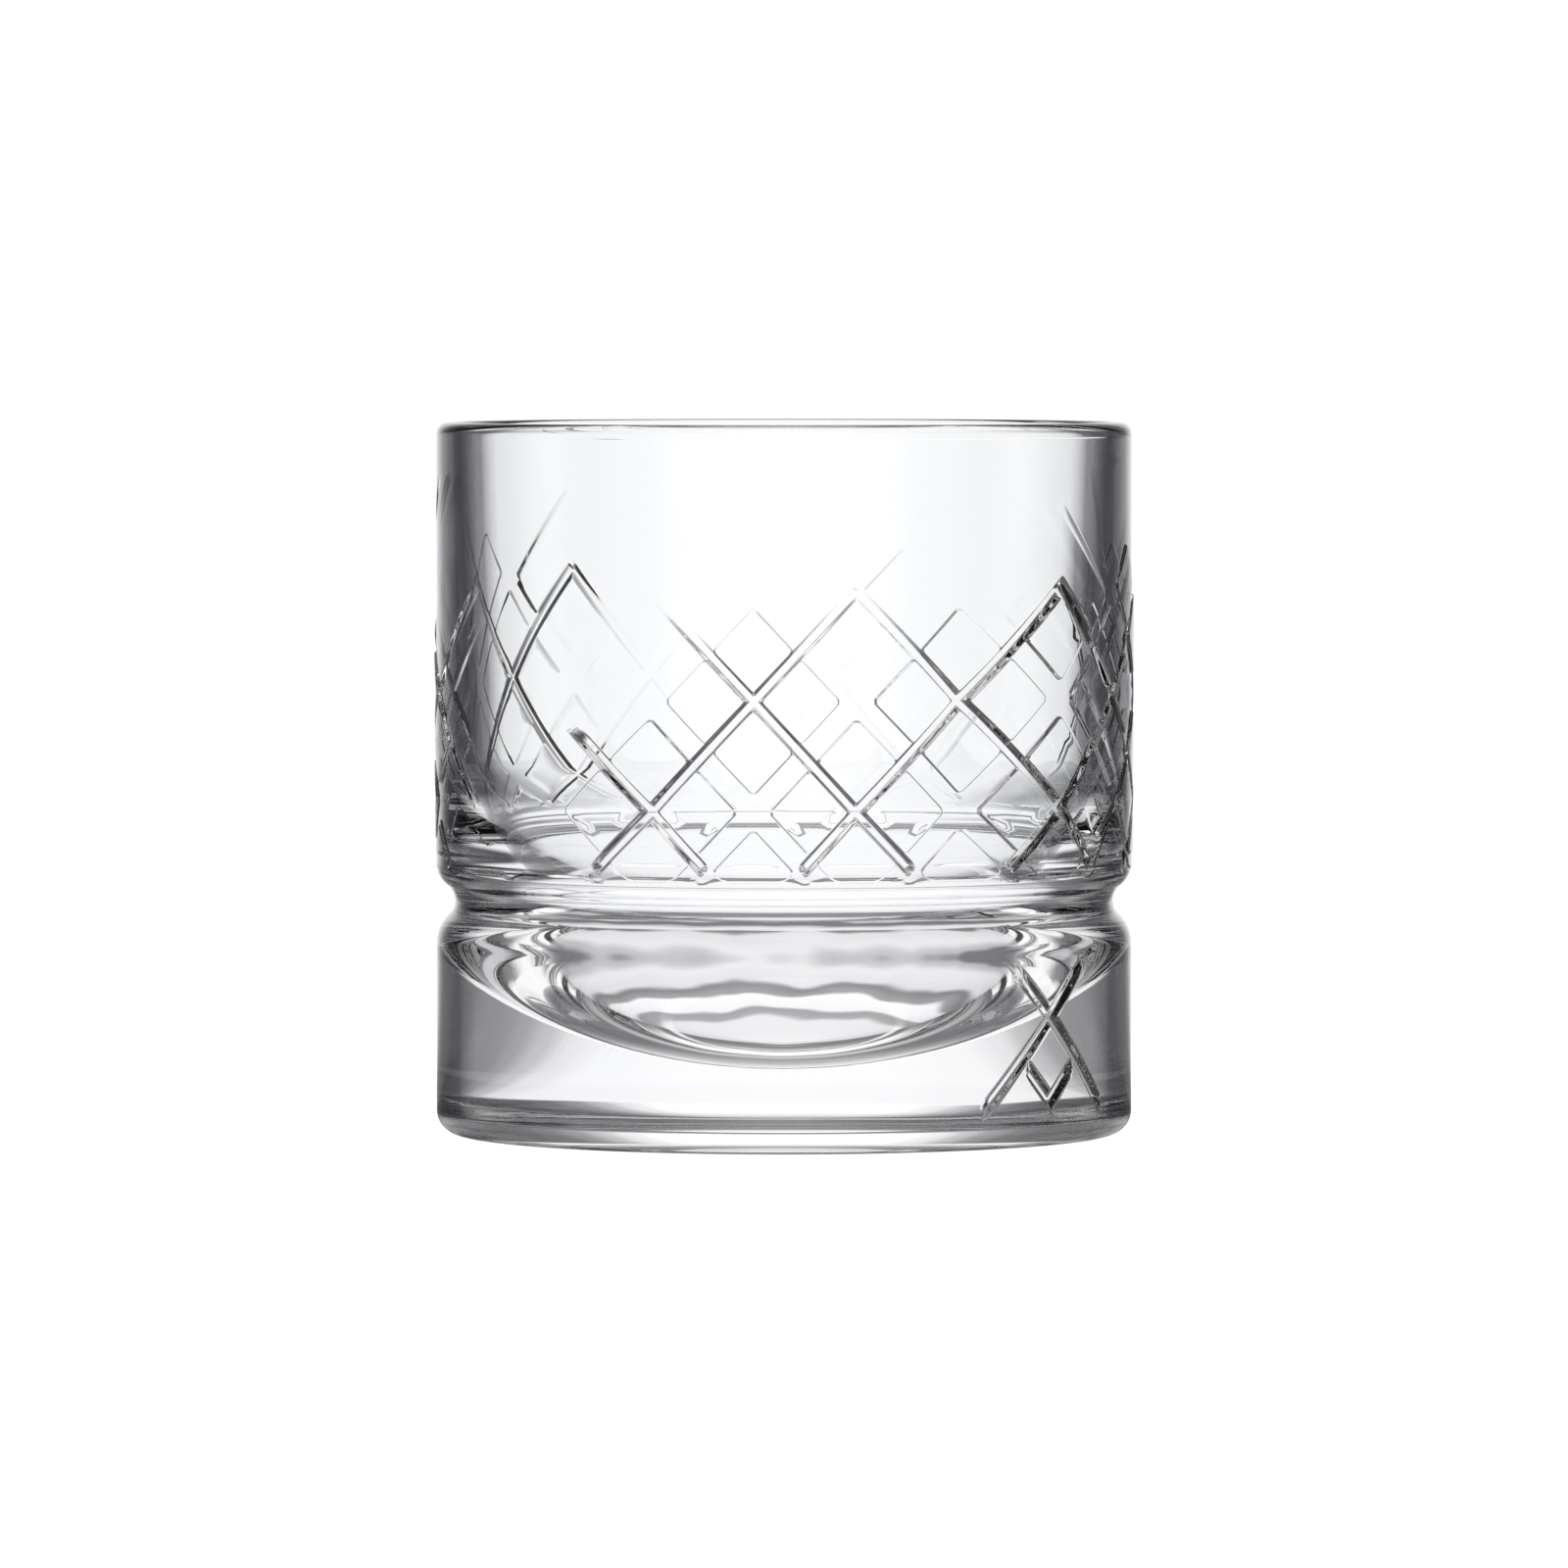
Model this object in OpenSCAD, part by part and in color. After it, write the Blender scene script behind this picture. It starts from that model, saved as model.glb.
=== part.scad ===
// Whiskey tumbler: one piece of clear pressed glass with a raised diamond band
// around the wall, a waist groove and a thick solid base.
// Z is the axis of the glass and z = 0 is the surface it stands on.
// Angles run around the axis from the front (-Y) towards +X.

/* [Glass] */
// Overall height
glass_h = 86; // [80:1:95]
// Outside diameter of the plain wall
glass_d = 84; // [80:1:90]
// Radius of the round bottom of the bowl
bowl_r = 38; // [36:0.5:38.2]
// Thickness of the base under the middle of the bowl
base_t = 8.5; // [6:0.5:12]
// Radius of the fire-polished rim, half the wall thickness there
rim_r = 1.4; // [1.2:0.1:1.6]

/* [Foot] */
// Rounding of the outside bottom edge
foot_r = 2.8; // [1.5:0.1:4]
// Radius of the hollow under the base
punt_r = 36; // [30:1:38]
// Depth of the hollow under the base
punt_h = 0.8; // [0.4:0.1:1.5]

/* [Waist groove] */
// Height of the middle of the groove
groove_z = 28.2; // [27:0.1:29]
// Depth of the groove
groove_depth = 2.2; // [1.5:0.1:2.4]
// Radius of the groove's floor
groove_r = 2.4; // [2.2:0.1:3]
// Rounding of the shoulder below the groove
lower_shoulder_r = 4.5; // [3:0.1:5]
// Rounding of the shoulder above the groove
upper_shoulder_r = 3; // [2.5:0.1:3.2]

/* [Diamond band] */
// Height of the lowest row of crossings
row_z = 40.4; // [40:0.1:41]
// Height from one row of crossings to the next
row_pitch = 13.05; // [12.5:0.05:13.2]
// Height of the straight lower edge of the band
band_z = 33.4; // [33:0.1:34]
// How far the diamonds stand proud of the wall
pad_h = 0.35; // [0.2:0.05:0.5]
// How deep the narrow channels are cut into the wall
channel_depth = 0.35; // [0.2:0.05:0.5]
// Gap between two diamonds on either side of a narrow channel
channel_gap = 1.4; // [1.2:0.1:2]
// Width of the narrow channel cut along the middle of that gap
channel_w = 1; // [0.6:0.1:1]
// Gap between two diamonds on either side of a wide, plain band
band_gap = 2.6; // [2:0.1:3]

/* [Star on the base] */
// Angle of the star's crossing, from the front towards +X
star_angle = 49; // [30:1:60]
// Height of the star's crossing
star_z = 15.6; // [15:0.1:16]

/* [Hidden] */
$fn = 144;

wall_r = glass_d / 2;
bowl_z = base_t + bowl_r;
over = 1;
// Pieces of the pattern start this far inside the wall and end this far outside it
pattern_in = 3;
pattern_out = 3;

// The lattice. Crossings lie at whole numbers i around the glass and j up it.
// Four columns at the front are equally spaced as seen from straight ahead, the way the
// mould face was laid out flat. The rest are equally spaced in angle up to one known
// column at the back, and again from there round to the front.
half_columns = 20;
front_columns = 4;
front_x = -15.7;
front_pitch = 12.1;
back_column = 14;
back_angle = 222;

function front_angle(i) = asin((front_x + i * front_pitch) / wall_r);
function between(from, to, part) = from + (to - from) * part;
function column_angle(i) =
    i < 0 ? column_angle(i + half_columns) - 360
    : i <= front_columns ? front_angle(i)
    : i <= back_column ?
        between(front_angle(front_columns), back_angle, (i - front_columns) / (back_column - front_columns))
    : between(back_angle, front_angle(0) + 360, (i - back_column) / (half_columns - back_column));
// Angle of any place along the lattice, also between two columns
function lattice_angle(i) = between(column_angle(floor(i)), column_angle(floor(i) + 1), i - floor(i));
function lattice_z(j) = row_z + j * row_pitch;

// How high the diamonds reach at each column: the upper edge of the band is uneven, and
// -1 leaves the wall plain. The same pattern is pressed twice around the glass.
reach = [0.5, 1.5, 1, 1.5, 1.5, 1.5, 2, 1, -1, -1];
function reach_at(i) = reach[(floor(i + 0.5) + half_columns) % len(reach)];
// A channel that leaves the diamonds behind runs out at this part of the way to the next crossing
run_out = 0.7;
// A raised chevron stands over one tall corner of each pattern. Its measures are in cells.
chevron_place = [4, 2];
chevron_half = 0.85;
chevron_top = 0.75;
chevron_gap = 0.06;
chevron_foot = 0.95;

// Outside outline with a true arc at the foot, the groove and both its shoulders
module outside_outline() {
    groove_c = [wall_r - groove_depth + groove_r, groove_z];
    lower_dr = groove_c.x - (wall_r - lower_shoulder_r);
    lower_dz = sqrt(pow(groove_r + lower_shoulder_r, 2) - lower_dr * lower_dr);
    lower_c = [wall_r - lower_shoulder_r, groove_z - lower_dz];
    upper_dr = groove_c.x - (wall_r - upper_shoulder_r);
    upper_dz = sqrt(pow(groove_r + upper_shoulder_r, 2) - upper_dr * upper_dr);
    upper_c = [wall_r - upper_shoulder_r, groove_z + upper_dz];
    lower_touch = lower_c + (groove_c - lower_c) * lower_shoulder_r / (groove_r + lower_shoulder_r);
    upper_touch = upper_c + (groove_c - upper_c) * upper_shoulder_r / (groove_r + upper_shoulder_r);

    square([wall_r - foot_r, lower_c.y]);
    translate([0, foot_r])
        square([wall_r, lower_c.y - foot_r]);
    translate([wall_r - foot_r, foot_r])
        circle(r = foot_r);
    translate(lower_c)
        circle(r = lower_shoulder_r);
    difference() {
        polygon([
            [0, lower_c.y - over], [lower_c.x, lower_c.y - over], lower_c, lower_touch, groove_c,
            upper_touch, upper_c, [upper_c.x, upper_c.y + over], [0, upper_c.y + over]
        ]);
        translate(groove_c)
            circle(r = groove_r);
    }
    translate(upper_c)
        circle(r = upper_shoulder_r);
    translate([0, upper_c.y])
        square([wall_r, glass_h - rim_r - upper_c.y]);
}

// Inside outline: a round bowl, then a straight wall that opens slightly to the rim
module inside_outline() {
    rim_c = [wall_r - rim_r, glass_h - rim_r];
    to_rim = rim_c - [0, bowl_z];
    draft = acos((bowl_r + rim_r) / norm(to_rim)) - atan2(to_rim.y, to_rim.x);
    wall_normal = [cos(draft), -sin(draft)];
    circle_top = [0, bowl_z] + bowl_r * wall_normal;
    rim_touch = rim_c - rim_r * wall_normal;
    intersection() {
        translate([0, bowl_z])
            circle(r = bowl_r);
        square([wall_r, bowl_z]);
    }
    polygon([
        [0, circle_top.y], circle_top, rim_touch, rim_c,
        [rim_c.x, glass_h + over], [0, glass_h + over]
    ]);
}

module punt_outline() {
    punt_sphere_r = (punt_r * punt_r + punt_h * punt_h) / (2 * punt_h);
    translate([0, punt_h - punt_sphere_r])
        intersection() {
            circle(r = punt_sphere_r, $fn = 2880);
            translate([0, punt_sphere_r - 2 * punt_h])
                square([wall_r, 3 * punt_h]);
        }
}

module half_outline() {
    difference() {
        outside_outline();
        inside_outline();
        punt_outline();
    }
    translate([wall_r - rim_r, glass_h - rim_r])
        circle(r = rim_r);
}

module blank() {
    rotate_extrude()
        intersection() {
            half_outline();
            square([wall_r + over, glass_h + over]);
        }
}

// A ring of the wall, from one radius to another, between two heights
module wall_ring(r_from, r_to, z_from, z_to) {
    rotate_extrude()
        translate([r_from, z_from])
            square([r_to - r_from, z_to - z_from]);
}

// A flat outline in the lattice, stood up and pushed out through the wall at one angle
module through_wall(angle, z) {
    rotate([0, 0, angle])
        translate([0, -wall_r + pattern_in, z])
            rotate([90, 0, 0])
                linear_extrude(pattern_in + pattern_out)
                    children();
}

// Half the width of one diamond cell at a column
function half_w(i) = wall_r * (lattice_angle(i + 0.5) - lattice_angle(i - 0.5)) * PI / 360;
half_h = row_pitch / 2;

// A flat outline given along the two slanting directions of the lattice, in cells
module slanted(i, outline) {
    polygon([for (c = outline) [(c.x + c.y) * half_w(i), (c.x - c.y) * half_h]]);
}

// Outline of one diamond cell. It is narrowed more on the sides with a wide band.
module pad_outline(k, l) {
    ic = (k + l + 1) / 2;
    side = norm([half_w(ic), half_h]);
    u0 = -0.5 + margin(k) / side;
    u1 = 0.5 - margin(k + 1) / side;
    v0 = -0.5 + margin(l) / side;
    v1 = 0.5 - margin(l + 1) / side;
    slanted(ic, [[u0, v0], [u1, v0], [u1, v1], [u0, v1]]);
}
function margin(line) = (line % 2 == 0 ? channel_gap : band_gap) / 2;

module pads() {
    intersection() {
        wall_ring(wall_r - over, wall_r + pad_h, band_z, glass_h);
        union() {
            for (n = [0 : 2 * half_columns - 1])
                for (m = [-1 : 2 * max(reach)])
                    if ((n + m) % 2 != 0 && m / 2 <= reach_at(n / 2))
                        through_wall(lattice_angle(n / 2), lattice_z(m / 2))
                            pad_outline((n + m - 1) / 2, (n - m - 1) / 2);
        }
    }
}

module chevrons() {
    intersection() {
        wall_ring(wall_r - over, wall_r + pad_h, band_z, glass_h);
        for (i = [chevron_place.x : len(reach) : half_columns])
            through_wall(lattice_angle(i), lattice_z(chevron_place.y))
                slanted(i, [
                    [-chevron_half, -chevron_top], [chevron_half, -chevron_top], [chevron_half, chevron_foot],
                    [chevron_gap, chevron_foot], [chevron_gap, -chevron_gap], [-chevron_half, -chevron_gap]
                ]);
    }
}

// A straight channel with round ends from one place on the wall to another, each an
// angle and a height
module channel(from, to) {
    run = [(to.x - from.x) * PI / 180 * wall_r, to.y - from.y];
    through_wall((from.x + to.x) / 2, (from.y + to.y) / 2)
        rotate([0, 0, atan2(run.y, run.x)]) {
            square([norm(run), channel_w], center = true);
            for (end = [-1, 1])
                translate([end * norm(run) / 2, 0])
                    circle(d = channel_w);
        }
}

// Channels run both ways through each crossing where i + j is even
module band_channels() {
    for (i = [0 : half_columns - 1])
        for (j = [0 : max(reach)])
            for (side = [-1, 1])
                if ((i + j) % 2 == 0 && j <= reach_at(i))
                    lattice_channel(i, j, side * channel_end(i, j, side), channel_end(i, j, side));
    for (i = [0 : 2 : half_columns - 1])
        for (side = [-1, 1])
            if (reach_at(i) >= 0)
                lattice_channel(i, 0, side / 2, -1 / 2);
}
module lattice_channel(i, j, around, up) {
    channel([lattice_angle(i), lattice_z(j)], [lattice_angle(i + around), lattice_z(j + up)]);
}
// How much of the way to the next crossing up a channel runs
function channel_end(i, j, side) = 2 * j + 1 <= reach_at(i) + reach_at(i + side) ? 1 : run_out;

// The star: a long cross, and a V under it
module star_channels() {
    cross_arms = [[-1, -1, 10.5], [1, -1, 10.5], [-1, 1, 5.5], [1, 1, 6.5]];
    v_drop = 10;
    v_arm = 4;
    for (arm = cross_arms)
        channel([star_angle, star_z], star_point(arm.x * arm.z, arm.y * arm.z));
    for (side = [-1, 1])
        channel(star_point(0, -v_drop), star_point(side * v_arm, v_arm - v_drop));
}
// A place near the star, given as distances around and up the wall from its crossing
function star_point(across, up) = [star_angle + across / wall_r * 180 / PI, star_z + up];

module channels() {
    intersection() {
        wall_ring(wall_r - channel_depth, wall_r + pad_h + over, 0, glass_h);
        union() {
            band_channels();
            star_channels();
        }
    }
}

module glass_body() {
    color("lightcyan", 0.6)
        difference() {
            union() {
                blank();
                pads();
                chevrons();
            }
            channels();
        }
}

glass_body();
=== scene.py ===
"""Looks of the pressed-glass whiskey tumbler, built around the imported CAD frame.

Lengths inside the mesh code are millimetres, and angles around the glass are degrees from the
front (-Y), growing towards +X. The finished mesh is scaled to metres in the row frame.
"""

import math

import bmesh
import bpy
import numpy as np
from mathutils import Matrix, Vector


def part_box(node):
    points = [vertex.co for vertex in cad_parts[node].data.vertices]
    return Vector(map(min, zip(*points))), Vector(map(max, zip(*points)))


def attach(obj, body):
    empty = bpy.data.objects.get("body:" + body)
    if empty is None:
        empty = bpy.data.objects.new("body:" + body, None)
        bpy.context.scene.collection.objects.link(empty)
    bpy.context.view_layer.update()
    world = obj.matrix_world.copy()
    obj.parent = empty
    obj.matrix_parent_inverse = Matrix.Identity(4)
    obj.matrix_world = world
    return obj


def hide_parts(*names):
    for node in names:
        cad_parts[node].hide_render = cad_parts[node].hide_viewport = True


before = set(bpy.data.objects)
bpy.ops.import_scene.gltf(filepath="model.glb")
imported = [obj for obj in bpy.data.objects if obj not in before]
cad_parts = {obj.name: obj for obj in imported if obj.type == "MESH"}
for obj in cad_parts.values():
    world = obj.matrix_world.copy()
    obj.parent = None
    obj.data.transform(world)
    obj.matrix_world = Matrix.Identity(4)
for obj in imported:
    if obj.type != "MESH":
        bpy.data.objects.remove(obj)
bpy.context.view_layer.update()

MM = 0.001
node_lo, node_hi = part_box("glass_body")

# ---------------------------------------------------------------- driving dimensions
PAD_H = 0.35
GLASS_H = node_hi.z / MM
WALL_R = (node_hi.x - node_lo.x) / 2 / MM - PAD_H
BOWL_R = 38.0
BASE_T = 8.5
BOWL_Z = BASE_T + BOWL_R
RIM_R = 1.4
FOOT_R = 2.8
PUNT_R = 36.0
PUNT_H = 0.8
GROOVE_Z = 28.2
GROOVE_DEPTH = 2.2
GROOVE_R = 2.4
LOWER_SHOULDER_R = 4.5
UPPER_SHOULDER_R = 3.0

# the diamond lattice: crossings at whole i around and whole j up
HALF_COLUMNS = 20
FRONT_COLUMNS = 4
FRONT_X = -15.7
FRONT_PITCH = 12.1
ROW_Z = 40.4
ROW_PITCH = 13.05
BACK_COLUMN, BACK_ANCHOR = 14, 222.0
CELL = 9.2  # side of one diamond cell
CELL_WIDE = 13.0  # and its width from corner to corner
BAND_Z = 32.2  # the lowest row of diamonds is cut off here
BEVEL_Z = 33.75  # and its upper level here
BAND_LO, BAND_HI = 31.0, 80.4  # nothing is pressed into the wall below and above these heights

# the narrow channels along every second line, and the diamonds between the lines
CHANNEL_HALF = 0.84
CHANNEL_FLOOR = 0.42  # part of the half width that is flat
CHANNEL_DEPTH = 0.64
CHANNEL_FADE = 0.8  # a channel with a missing top starts over this length
CHANNEL_FOOT, FOOT_FADE = 0.53, 0.6  # part of a lowest channel that is there, and its fading end
NARROW_GAP = 0.45  # from a channel line to the diamond's edge
WIDE_GAP = 1.25
PAD_EDGE = 0.27
PAD_CORNER = 0.9
PAD_FACE = 0.31  # height of a diamond's edge, the rest is its crown
CROWN_RUN = 3.5  # the crown is full this far from the edge
LOW_RISE = 0.6  # part of the usual width that the edges of the lowest row have
LOW_INSET = 0.55  # and how far the upper level of that row stands back
DIP = 0.07  # how far the row above it sinks below a curved crease
CREASE_DROP, CREASE_HALF = 1.7, 4.6  # depth and half width of that crease

# the shallow ledge that ends the band, with a cusp under the foot of each channel
LEDGE_Z = 32.3
LEDGE_DEPTH = 0.10
CUSP_DROP, CUSP_HALF = 0.55, 1.2

# the raised chevron over the tall corner of each pattern, in lattice lines
CHEVRON_LEFT, CHEVRON_RIGHT = 5.15, 6.85
CHEVRON_TOP, CHEVRON_BOTTOM = 1.25, 2.95
CHEVRON_IN_U, CHEVRON_IN_V = 6.06, 1.94  # the inner sides of its right and its left arm
CHEVRON_CORNER = 1.0
CHEVRON_EDGE = 0.6

# the pattern straight behind is softer and fainter
BACK_SPREAD = 70.0  # the soft part reaches this far to each side of straight behind
BACK_FADE = 14.0
BACK_EDGE, BACK_HALF = 0.9, 0.9
FAINT_SPREAD, FAINT_FADE = 52.0, 26.0  # the faint part, and how slowly it begins

STAR_ANGLE = 49.0
STAR_Z = 15.6
STAR_HALF = 0.9
STAR_FLOOR = 0.35  # part of the half width that is flat
STAR_DEPTH = 0.6
STAR_DROP = 10.0  # the V under the cross is this much lower

MOULD_LINE_Z = GLASS_H - 1.6
WAVES_OUT, WAVES_IN = 0.012, 0.02  # unevenness of the outside and inside walls

RING = 240  # points around every plain ring
ZONE_LO, ZONE_HI = 31.0, 80.5  # heights of the lattice mesh
# level edges of the mesh, close together where the band ends
CUTS = (
    31.7, 31.95, 32.2, 32.3, 32.4, 32.55, 32.8, 33.3, 33.75, 33.85, 33.95, 34.1, 34.5, 35.0,
)
STAR_LO, STAR_HI = 3.6, 22.6
STAR_WINDOW = (28.5, 69.0)


def arcs():
    """Centres of the groove and its two shoulders, and the heights where they touch."""
    gc = (WALL_R - GROOVE_DEPTH + GROOVE_R, GROOVE_Z)
    lr = gc[0] - (WALL_R - LOWER_SHOULDER_R)
    lc = (WALL_R - LOWER_SHOULDER_R, GROOVE_Z - math.sqrt((GROOVE_R + LOWER_SHOULDER_R) ** 2 - lr**2))
    ur = gc[0] - (WALL_R - UPPER_SHOULDER_R)
    uc = (WALL_R - UPPER_SHOULDER_R, GROOVE_Z + math.sqrt((GROOVE_R + UPPER_SHOULDER_R) ** 2 - ur**2))
    lt = lc[1] + (gc[1] - lc[1]) * LOWER_SHOULDER_R / (GROOVE_R + LOWER_SHOULDER_R)
    ut = uc[1] + (gc[1] - uc[1]) * UPPER_SHOULDER_R / (GROOVE_R + UPPER_SHOULDER_R)
    return gc, lc, uc, lt, ut


GROOVE_C, LOWER_C, UPPER_C, LOWER_TOUCH, UPPER_TOUCH = arcs()


def outline_r(z):
    """Radius of the plain outside wall at height z, between the foot and the rim."""
    r = np.full_like(z, WALL_R)
    m = (z > LOWER_C[1]) & (z <= LOWER_TOUCH)
    r[m] = LOWER_C[0] + np.sqrt(LOWER_SHOULDER_R**2 - (z[m] - LOWER_C[1]) ** 2)
    m = (z > LOWER_TOUCH) & (z < UPPER_TOUCH)
    r[m] = GROOVE_C[0] - np.sqrt(GROOVE_R**2 - (z[m] - GROOVE_C[1]) ** 2)
    m = (z >= UPPER_TOUCH) & (z < UPPER_C[1])
    r[m] = UPPER_C[0] + np.sqrt(UPPER_SHOULDER_R**2 - (z[m] - UPPER_C[1]) ** 2)
    return r


def step(t):
    """A soft slope from 0 to 1."""
    t = np.clip(t, 0, 1)
    return t * t * (3 - 2 * t)


def ramp_up(t):
    """A straight slope from 0 to 1 with slightly rounded ends."""
    return 0.65 * np.clip(t, 0, 1) + 0.35 * step(t)


# ---------------------------------------------------------------- the lattice
front = [math.degrees(math.asin((FRONT_X + i * FRONT_PITCH) / WALL_R)) for i in range(FRONT_COLUMNS + 1)]
known = [front[-1], BACK_ANCHOR, front[0] + 360]
others = np.arange(FRONT_COLUMNS + 1, HALF_COLUMNS + 1)
rest = np.interp(others, [FRONT_COLUMNS, BACK_COLUMN, HALF_COLUMNS], known)
COLUMN = np.array(front + rest.tolist())
COLUMN_I = np.arange(HALF_COLUMNS + 1.0)


def column_at(angle):
    """Place around the lattice, in half columns, at an angle around the glass."""
    return np.interp((angle - COLUMN[0]) % 360 + COLUMN[0], COLUMN, COLUMN_I)


def angle_of(i):
    """Angle around the glass of a place around the lattice."""
    turns = np.floor(i / HALF_COLUMNS)
    return np.interp(i - turns * HALF_COLUMNS, COLUMN_I, COLUMN) + 360 * turns


# how high the diamonds reach at each column; the same pattern is pressed twice around the glass
REACH = [0.5, 1.5, 1, 1.5, 1.5, 1.5, 2, 1, -1, -1]
PERIOD = len(REACH)


def reach_at(i):
    """How high the diamonds reach at a place around the lattice."""
    return REACH[int(math.floor(i + 0.5)) % PERIOD]


# strength of the diamonds that differ from the rule, by twice their column and twice their row
ODD_PADS = (
    (0, 1, 1.0), (2, 3, 0.6), (8, 3, 0.9), (6, 3, 0.7), (4, 3, 0.15), (3, 4, 0.1), (5, 4, 0.1),
)
PAD_ROWS, FIRST_PAD_ROW = 12, -2
# the channels that differ from the rule, by the crossing that they run down from and the side,
# 0 to the right and 1 to the left: strength at the top and at the bottom, and the missing part
ODD_RUNS = (
    (-1, 1, 0, 1.0, 1.0, 0.3),
    (0, 2, 0, 0.0, 1.1, 0.05),
    (2, 2, 1, 0.25, 1.0, 0.0),
    (2, 2, 0, 0.25, 1.0, 0.0),
    (4, 2, 1, 1.0, 1.0, 0.0),
    (4, 2, 0, 1.0, 1.0, 0.0),
    (3, 3, 1, 0.0, 0.2, 0.4),
    (5, 3, 0, 0.0, 0.0, 0.0),
)
RUN_ROWS = 6


def pad_strengths():
    """Strength of every diamond: full below the uneven edge, a little less along it."""
    amp = np.zeros((2 * HALF_COLUMNS, PAD_ROWS))
    for i2 in range(2 * HALF_COLUMNS):
        for j2 in range(-1, 8):
            if (i2 + j2) % 2 == 1:
                above = j2 / 2 - reach_at(i2 / 2)
                amp[i2, j2 - FIRST_PAD_ROW] = 1.0 if above < -0.2 else 0.8 if above < 0.2 else 0.0
    for i2, j2, strength in ODD_PADS:
        for turn in (0, 2 * PERIOD):
            amp[(i2 + turn) % (2 * HALF_COLUMNS), j2 - FIRST_PAD_ROW] = strength
    return amp


def run_strengths():
    """Strength at the top, strength at the bottom and missing part of every channel."""
    amp = np.zeros((HALF_COLUMNS, RUN_ROWS, 2, 3))
    for i in range(HALF_COLUMNS):
        for j in range(RUN_ROWS - 1):
            if (i + j) % 2 == 0:
                for side, step_i in ((0, 1), (1, -1)):
                    top = 1.0 if j <= reach_at(i) else 0.0
                    bottom = 1.0 if j - 1 <= reach_at(i + step_i) and (j or top) else 0.0
                    amp[i, j, side] = (top, bottom, 0.0)
    for i, j, side, top, bottom, gone in ODD_RUNS:
        for turn in (0, PERIOD):
            amp[(i + turn) % HALF_COLUMNS, j, side] = (top, bottom, gone)
    return amp


pad_amp = pad_strengths()
run_amp = run_strengths()


def channel_amp(line, along, side):
    """Strength of the channel on one even line, at lattice place `along` on it."""
    seg = np.floor(along / 2).astype(int)
    if side == 0:  # runs down to the right: line is u, along is v and grows going down
        top_i, top_j, f = (line + 2 * seg) / 2, (line - 2 * seg) / 2, along / 2 - seg
    else:  # runs down to the left: line is v, along is u and falls going down
        top_i, top_j, f = (2 * seg + 2 + line) / 2, (2 * seg + 2 - line) / 2, seg + 1 - along / 2
    ti = np.round(top_i).astype(int) % HALF_COLUMNS
    tj = np.round(top_j).astype(int)
    ok = (tj >= 0) & (tj < RUN_ROWS)
    a = run_amp[ti, np.clip(tj, 0, RUN_ROWS - 1), side]
    amp = a[:, 0] + (a[:, 1] - a[:, 0]) * f
    starts = step((f - a[:, 2]) * 2 * CELL / CHANNEL_FADE)
    ends = step((CHANNEL_FOOT - f) * 2 * CELL / FOOT_FADE)
    amp = np.clip(amp, 0, 1) * np.where(a[:, 2] == 0, 1, starts)
    amp = amp * np.where(tj > 0, 1, ends)
    return np.where(ok, amp, 0)


def corner_distance(ex, ey, radius):
    """Distance inside a corner whose sides are ex and ey away, rounded to the radius."""
    return radius - np.hypot(np.maximum(radius - ex, 0), np.maximum(radius - ey, 0))


def plateau(u, v):
    """The raised chevron above the tall corner at the right, in parts of a diamond's height."""
    # it stands higher towards its right foot, and its right side grows wider that way
    down = np.clip((v - CHEVRON_TOP) / (CHEVRON_BOTTOM - CHEVRON_TOP), 0, 1)
    across = np.clip((u - CHEVRON_LEFT) / (CHEVRON_RIGHT - CHEVRON_LEFT), 0, 1)
    right = (CHEVRON_RIGHT - u) * 0.6 / (0.9 + down)
    left_arm = corner_distance(
        np.minimum(u - CHEVRON_LEFT, right) * CELL,
        np.minimum(v - CHEVRON_TOP, CHEVRON_IN_V - v) * CELL,
        CHEVRON_CORNER,
    )
    right_arm = corner_distance(
        np.minimum(u - CHEVRON_IN_U, right) * CELL,
        np.minimum(v - CHEVRON_TOP, CHEVRON_BOTTOM - v) * CELL,
        CHEVRON_CORNER,
    )
    height = (0.3 + 0.7 * across) * (1.0 + 1.2 * down)
    return height * ramp_up(np.maximum(left_arm, right_arm) / CHEVRON_EDGE)


def backness(angle):
    """1 where the pattern is at the back and its edges are soft, 0 at the front and sides."""
    return step((BACK_SPREAD - np.abs(angle % 360 - 180)) / BACK_FADE)


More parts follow.
